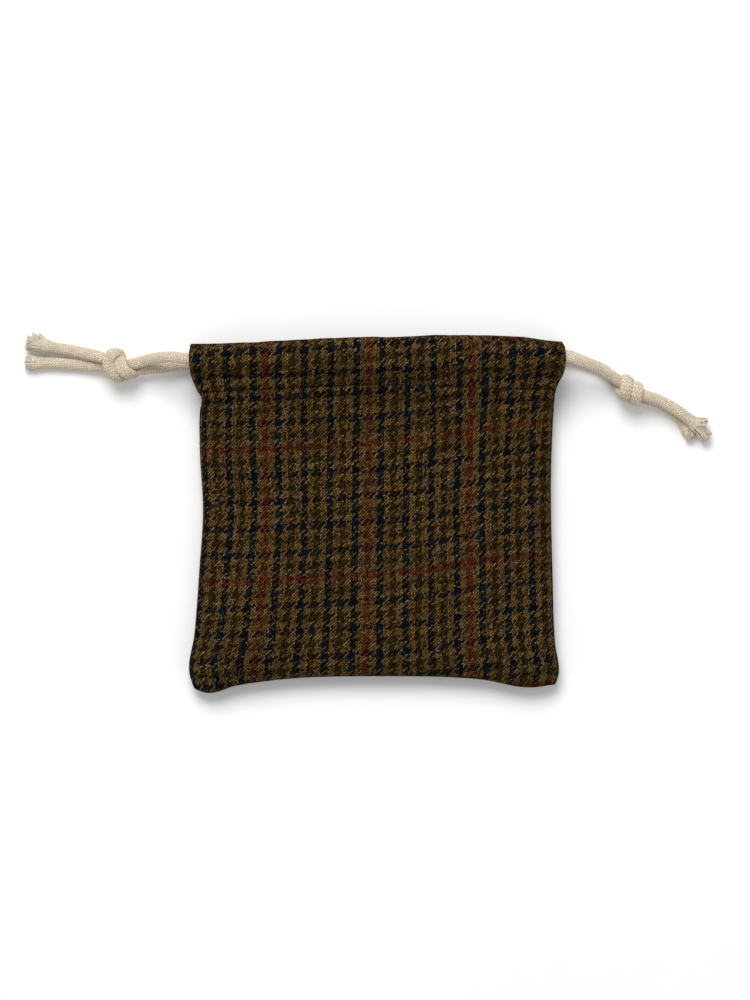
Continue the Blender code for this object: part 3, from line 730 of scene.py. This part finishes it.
def make_drawstrings(cotton, yarn):
    """Both cords, each as two free strands with frayed ends and the stretch that the casing holds."""
    for seed, (hand, (side, run_y, strands)) in enumerate(DRAWSTRINGS.items()):
        cord, first, last = whole_cord(strands["over"][0], strands["wrap"][0], side, run_y)
        make_strand(hand, "over", cord, slice(first, None, -1), strands["over"], 2 * seed, cotton, yarn)
        make_strand(hand, "wrap", cord, slice(last, None), strands["wrap"], 2 * seed + 1, cotton, yarn)
        body = f"{hand}_drawstring"
        held = slice(first, last + 1, 2)
        count = len(cord[0][held])
        from_end = np.minimum(np.arange(count), np.arange(count)[::-1]) * 2 * RING_SPACING
        wide = CORD_WIDE + (HELD_WIDE - CORD_WIDE) * smooth_step(0.0, 6.0, from_end)
        radius = np.full(count, CORD / 2)
        piece = tube(f"{body}_held", cord, held, cotton, radius, wide=wide, sides=SIDES // 2)
        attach(piece, body)
        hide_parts(f"{body}_front_run", f"{body}_back_run", f"{body}_bight")


# ---------------------------------------------------------------- cloth


def follow_gather(piece):
    """Bakes a piece's transform into its points and reads them back in millimetres; it does not draw the
    cloth in.
    """
    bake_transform(piece)
    place = np.zeros(len(piece.data.vertices) * 3)
    piece.data.vertices.foreach_get("co", place)
    place = place.reshape(-1, 3) / MM


def soft_noise(x, y, scale, seed):
    """Smooth noise, about -0.5 to 0.5, with features of the scale's size."""
    flat = [noise.noise(Vector((a / scale, b / scale, seed))) for a, b in zip(x.ravel(), y.ravel())]
    return np.array(flat).reshape(x.shape)


def casing_loop(mouth, face):
    """One column of the casing: from the hem up to the fold at the mouth, over the cords and down."""
    stitch = mouth - STITCH_DROP
    low_cord, high_cord = LEFT_CORD_Y, RIGHT_CORD_Y
    if face == "front":
        hem, top, level = 13.8, 19.6, FRONT_LEVEL
        points = [(stitch - 1.6, 13.2), (stitch, 13.0), (stitch + 2.0, 13.4), (low_cord, hem),
                  (high_cord, hem), (mouth - 3.0, hem + 0.1), (mouth - 1.5, 14.3), (mouth - 0.8, 15.0),
                  (mouth - 0.6, 16.0), (mouth - 0.9, 17.2), (mouth - 2.0, 18.2), (high_cord + 1.7, 18.95),
                  (high_cord + 0.2, top - 0.05), ((low_cord + high_cord) / 2, top + 0.05),
                  (low_cord + 0.6, top - 0.05), (low_cord - 1.2, top - 0.75), (low_cord - 2.6, top - 1.8),
                  (low_cord - 4.0, 16.7), (low_cord - 5.4, 15.75), (stitch + 2.3, 15.15),
                  (stitch + 1.3, 15.0), (stitch + 0.55, 14.6), (stitch + 0.1, 13.8), (stitch - 0.4, 14.0),
                  (stitch - 1.0, 14.75), (stitch - 2.0, 15.05), (stitch - 4.0, 14.5), (stitch - 7.0, 13.4),
                  (stitch - 11.0, level + 0.1)]
    else:
        level = BACK_LEVEL
        points = [(stitch - 1.6, 3.1), (stitch, 3.2), (stitch + 1.4, 4.6), (stitch + 2.8, 6.0),
                  (stitch + 4.4, 6.6), (low_cord, 6.65), (high_cord, 6.6), (mouth - 2.6, 6.5),
                  (mouth - 1.3, 5.9), (mouth - 0.75, 4.9), (mouth - 0.6, 3.7), (mouth - 0.75, 2.5),
                  (mouth - 1.5, 1.3), (mouth - 2.8, level + 0.05), (high_cord - 2.0, level),
                  (low_cord, level), (stitch + 2.6, level + 0.1), (stitch + 1.1, 1.2), (stitch, 2.1),
                  (stitch - 1.1, 1.4), (stitch - 2.8, 0.75), (stitch - 5.5, level), (stitch - 11.0, level)]
    return resample(spline(points, 10), count=CASING_ROWS)


def panel_grid(face, mouth):
    """Middle surface of one panel, in rows from the hem to the bottom seam's allowance."""
    shoulder = FRONT_SHOULDER if face == "front" else BACK_SHOULDER
    seam_z = SEAM_Z + (SEAM_APART if face == "front" else -SEAM_APART)
    level = FRONT_LEVEL if face == "front" else BACK_LEVEL
    inset = CLOTH / 2 + LIFT
    near = len(TURNED)

    # From a seam: in the allowance, close together round the shoulder, then even to the middle line.
    # A rise is a share of the height, 0 in the allowance and 1 on the flat.
    arc = np.linspace(0, np.pi / 2, SHOULDER_STEPS)
    rounding = shoulder * (1 - np.cos(arc))
    rise = np.concatenate([[0.0, 0.0, 0.0, 0.02], 0.10 + 0.90 * np.sin(arc)])
    nominal = np.concatenate([rounding, np.linspace(shoulder, HALF_WIDTH, HALF_COLUMNS + 1)[1:]])
    side_rise = np.concatenate([rise, np.ones(HALF_COLUMNS)])
    end_rise = np.concatenate([np.ones(CASING_ROWS + BODY_ROWS), rise[::-1]])

    tall, half = len(end_rise), near + len(nominal)
    columns = [(-1, k) for k in range(half)] + [(1, k) for k in range(half - 2, -1, -1)]
    grid = np.zeros((tall, len(columns), 3))
    for c, (side, k) in enumerate(columns):
        share = nominal[k - near] if k >= near else 0.0
        top = float(curve(mouth, side * (HALF_WIDTH - share)))
        foot = float(curve(BOTTOM, side * (HALF_WIDTH - share))) + inset
        loop = casing_loop(top, face)
        body_y = np.linspace(loop[-1, 0], foot + shoulder, BODY_ROWS + 2)[1:-1]
        y = np.concatenate([loop[:, 0], body_y, foot + rounding[::-1], foot + TURNED[::-1]])
        z_casing = np.concatenate([loop[:, 1], np.full(tall - CASING_ROWS, loop[-1, 1])])
        z_body = seam_z + (level - seam_z) * side_rise[k] * end_rise
        part = smooth_step(STITCH_DROP + 1.0, STITCH_DROP + 7.0, top - y)
        part[:CASING_ROWS // 2] = 0.0

        outline = LEFT_SIDE if side < 0 else RIGHT_SIDE
        width = np.abs(curve(outline, y)) - inset
        reach = np.abs(curve(outline, np.minimum(y, WAIST))) - inset
        if k < near:
            inwards = TURNED[k] * part - (near - k) * CUT_EDGE_STEP * (1 - part)
        elif share <= shoulder:
            inwards = share
        else:
            inwards = shoulder + (share - shoulder) * (reach - shoulder) / (HALF_WIDTH - shoulder)
        spread = max(0.0, 1 - share / SPREAD) ** 2
        inner_layer = np.arange(tall) < np.argmax(loop[:, 0])
        from_turn = np.abs(y - (LEFT_CORD_Y if side > 0 else RIGHT_CORD_Y))
        bay = inner_layer * (1 - smooth_step(BAY_HALF, BAY_HALF + BAY_ROUND, from_turn))
        bay = bay * max(0.0, 1 - share / BAY_REACH) ** 2
        grid[:, c, 0] = side * (reach - inwards + (width - reach) * spread - (width - BAY_END) * bay)
        grid[:, c, 1] = y
        grid[:, c, 2] = z_casing * (1 - part) + z_body * part
    return grid


def wrinkled(grid, face):
    """Adds the small unevenness of worn cloth: gathers under the mouth, puckers at the seams and slack."""
    x, y, z = grid[:, :, 0], grid[:, :, 1], grid[:, :, 2]
    sign = 1.0 if face == "front" else 0.45
    phase = 3.0 * soft_noise(x, y * 0.2, 38.0, 2.0)
    near_middle = smooth_step(0.0, 9.0, np.abs(x))
    gathers = np.sin(2 * np.pi * x / 13.5 + phase) * smooth_step(0.0, 46.0, y) * near_middle
    edge = np.minimum(np.abs(curve(LEFT_SIDE, y)) + x, curve(RIGHT_SIDE, y) - x)
    inner = smooth_step(2.0, 16.0, edge)
    amount = np.where(y > 57.0, 0.34, 1.0) * (1 + 0.8 * soft_noise(x, y * 0.3, 17.0, 12.0))
    slack = soft_noise(x, y, 34.0, 5.0) * 2.2 + soft_noise(x, y, 13.0, 9.0) * 0.9
    slack = slack + soft_noise((x - y) * 0.71, (x + y) * 0.28, 8.5, 21.0) * 1.5 * smooth_step(-62.0, 15.0, y)
    body = inner * smooth_step(-67.0, -52.0, y) * (1 - smooth_step(40.0, 50.0, y))
    puckers = np.sin(2 * np.pi * y / 6.4 + 4 * soft_noise(x * 0.1, y, 20.0, 4.0))
    puckers = puckers * (1 - smooth_step(3.0, 11.0, edge)) * 0.16 * (1 - smooth_step(38.0, 44.0, y))
    z = z + sign * (gathers * amount * inner + slack * body + puckers)
    if face == "back":
        z = np.maximum(z, CLOTH / 2 + LIFT)
    if face == "front":
        outside = np.arange(len(z))[:, None] >= CASING_ROWS // 2
        foot = 0.45 * np.exp(-((y - 57.4) / 1.3) ** 2) - 0.35 * np.exp(-((y - 54.2) / 1.1) ** 2)
        z = z + outside * foot * (1 - smooth_step(-52.0, -42.0, x)) * smooth_step(-74.5, -70.0, x)
    grid[:, :, 2] = z
    grid[:, :, 1] += 0.35 * soft_noise(x, z * 0, 9.0, 7.0) * smooth_step(58.0, 66.0, y)
    return grid


def clear_of_cords(grid, face):
    """Pushes the casing's cloth out to where it just clears the cords that run through it."""
    level = FRONT_CORD_Z if face == "front" else BACK_CORD_Z
    wide, tall = (CORD / 2 * share + CLOTH / 2 + CORD_ROOM for share in (HELD_WIDE, CORD_TALL))
    y, z = grid[:CASING_ROWS, :, 1], grid[:CASING_ROWS, :, 2]
    middle = np.clip(y, LEFT_CORD_Y, RIGHT_CORD_Y)
    across, up = (y - middle) / wide, (z - level) / tall
    push = np.maximum(1 / np.maximum(np.hypot(across, up), 1e-3), 1.0)
    grid[:CASING_ROWS, :, 1] = middle + across * wide * push
    grid[:CASING_ROWS, :, 2] = level + up * tall * push
    return grid


def cloth_uv(grid):
    """Flat cloth coordinates: along the surface down each column, and square to it across."""
    middle = grid.shape[1] // 2
    level_row, across_row = CASING_ROWS + 6, CASING_ROWS + 36
    steps = np.linalg.norm(np.diff(grid[:, :, 1:], axis=0), axis=2)
    along = np.vstack([np.zeros(grid.shape[1]), np.cumsum(steps, axis=0)])
    v = grid[level_row, :, 1][None] - (along - along[level_row][None])
    across = np.linalg.norm(np.diff(grid[across_row], axis=0), axis=1)
    across = np.concatenate([[0.0], np.cumsum(across)])
    across -= across[middle]
    edge = grid[across_row, :, 0]
    u = np.where(np.abs(edge) < 55, edge, across)[None].repeat(grid.shape[0], 0)
    u = u + (70.0 - np.clip(v, -70, 75)) / 135.0 * (1.3 - 0.0075 * u)
    return np.stack([u, v - curve(WEFT_RISE, u)], -1)


def thick_sheet(name, grid, uv, normal, finish):
    """Closes a middle surface into cloth of its real thickness."""
    tall, wide = grid.shape[:2]
    over, under = grid + normal * CLOTH / 2, grid - normal * CLOTH / 2
    count = tall * wide
    j, i = np.meshgrid(np.arange(tall - 1), np.arange(wide - 1), indexing="ij")
    a, b, c, d = j * wide + i, j * wide + i + 1, (j + 1) * wide + i + 1, (j + 1) * wide + i
    upper = np.stack([a, d, c, b], -1).reshape(-1, 4)
    rim = [(0, k) for k in range(wide)] + [(k, wide - 1) for k in range(1, tall)]
    rim += [(tall - 1, k) for k in range(wide - 2, -1, -1)] + [(k, 0) for k in range(tall - 2, 0, -1)]
    index = np.array([row * wide + column for row, column in rim])
    following = np.roll(index, -1)
    walls = np.stack([index, following, following + count, index + count], -1)
    faces = np.vstack([upper, upper[:, ::-1] + count, walls])
    pairs = np.vstack([uv.reshape(-1, 2)] * 2)
    vertices = np.vstack([over.reshape(-1, 3), under.reshape(-1, 3)])
    return add_mesh(name, vertices, faces, pairs[faces] / UV_SCALE, finish)


def surface_normals(grid):
    """Directions square to the surface at each of its points."""
    down = np.gradient(grid, axis=0)
    right = np.gradient(grid, axis=1)
    normal = np.cross(down, right)
    normal /= np.maximum(np.linalg.norm(normal, axis=2), 1e-9)[:, :, None]
    return normal


def make_panel(face, mouth, finish):
    """One panel of cloth, as a left and a right half."""
    grid = clear_of_cords(wrinkled(panel_grid(face, mouth), face), face)
    normal = surface_normals(grid)
    uv = cloth_uv(grid)
    middle = grid.shape[1] // 2
    halves = ((-1, "left", slice(0, middle + 1)), (1, "right", slice(middle, None)))
    made = []
    for side, hand, part in halves:
        piece = thick_sheet(f"{face}_{hand}_cloth", grid[:, part], uv[:, part], normal[:, part], finish)
        follow_gather(piece)
        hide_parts(f"{face}_panel")
        made.append(piece)
    return made, grid, normal


# ---------------------------------------------------------------- thread

def stitch_row(name, stitches, radius, finish):
    """Short lengths of thread from (middle, direction, half length, the way that its middle stands up)."""
    vertices, faces, uvs = [], [], []
    t = np.linspace(-1, 1, 7)
    swell = np.maximum(1 - t ** 6, 0.06) ** 0.5
    for middle, direction, half, lift in stitches:
        direction = np.asarray(direction, float) / np.linalg.norm(direction)
        line = np.asarray(middle) + np.outer(t * half, direction) - np.outer(t ** 4 * 0.32, lift)
        add_rod(vertices, faces, uvs, line, radius * swell, t * half, THREAD_SIDES, THREAD_CORNERS,
                THREAD_CAPS)
    return add_mesh(name, np.array(vertices), faces, uvs, finish)


def casing_stitches(face, grid, normal, thread):
    """The row of stitches that closes the casing, on the outside of the cloth."""
    outer = CASING_ROWS // 2
    pitch, half, last_x = 3.0, 1.15, 69.0
    mouth = FRONT_MOUTH if face == "front" else BACK_MOUTH
    outward = np.array([0.0, 0.0, 1.0 if face == "front" else -1.0])
    for side, hand in ((-1, "left"), (1, "right")):
        stitches = []
        for x in np.arange(pitch / 2, last_x, pitch) * side:
            column = int(np.argmin(np.abs(grid[CASING_ROWS, :, 0] - x)))
            y = float(curve(mouth, x)) - STITCH_DROP
            row = outer + int(np.argmin(np.abs(grid[outer:CASING_ROWS, column, 1] - y)))
            surface_z = (grid[row, column] + normal[row, column] * (CLOTH / 2))[2]
            stitches.append((np.array([x, y, surface_z]) - outward * 0.05, (1.0, 0.02, 0.0), half, outward))
        piece = stitch_row(f"{face}_{hand}_casing_stitches", stitches, 0.26, thread)
        follow_gather(piece)
        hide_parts(f"{face}_casing_thread")


def seam_stitches(thread):
    """Stitches that hold the two panels together, seen down in the crease round the edge."""
    inset, pitch, half, radius = 1.1, 2.6, 0.9, 0.28
    for side, hand, outline in ((-1, "left", LEFT_SIDE), (1, "right", RIGHT_SIDE)):
        stitches = []
        for y in np.arange(-64.0, 42.0, pitch):
            middle = (float(curve(outline, y)) - side * inset, y, SEAM_Z)
            stitches.append((middle, (0.0, 1.0, 0.0), half, (side, 0.0, 0.0)))
        piece = stitch_row(f"{hand}_seam_stitches", stitches, radius, thread)
        follow_gather(piece)
        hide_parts(f"{hand}_seam_thread")
    stitches = [((x, float(curve(BOTTOM, x)) + inset, SEAM_Z), (1.0, 0.0, 0.0), half, (0.0, -1.0, 0.0))
                for x in np.arange(-66.0, 66.0, pitch)]
    piece = stitch_row("bottom_seam_stitches", stitches, radius, thread)
    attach(piece, "sack")
    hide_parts("bottom_seam_thread")


# ---------------------------------------------------------------- everything

def main():
    """Builds the camera, the cords, both panels, the thread and the stage."""
    make_camera()
    cotton = make_cotton("cotton_braid")
    yarn = make_yarn("cotton_yarn", (0.79, 0.715, 0.59), (0.47, 0.38, 0.26))
    thread = make_yarn("dark_thread", (0.012, 0.010, 0.009), (0.004, 0.003, 0.003), 0.0)
    make_drawstrings(cotton, yarn)
    front, grid, normal = make_panel("front", FRONT_MOUTH, make_tweed("tweed_front"))
    casing_stitches("front", grid, normal, thread)
    back, grid, normal = make_panel("back", BACK_MOUTH, make_tweed("tweed_back", 6.1, 11.7))
    casing_stitches("back", grid, normal, thread)
    seam_stitches(thread)
    make_stage()


main()
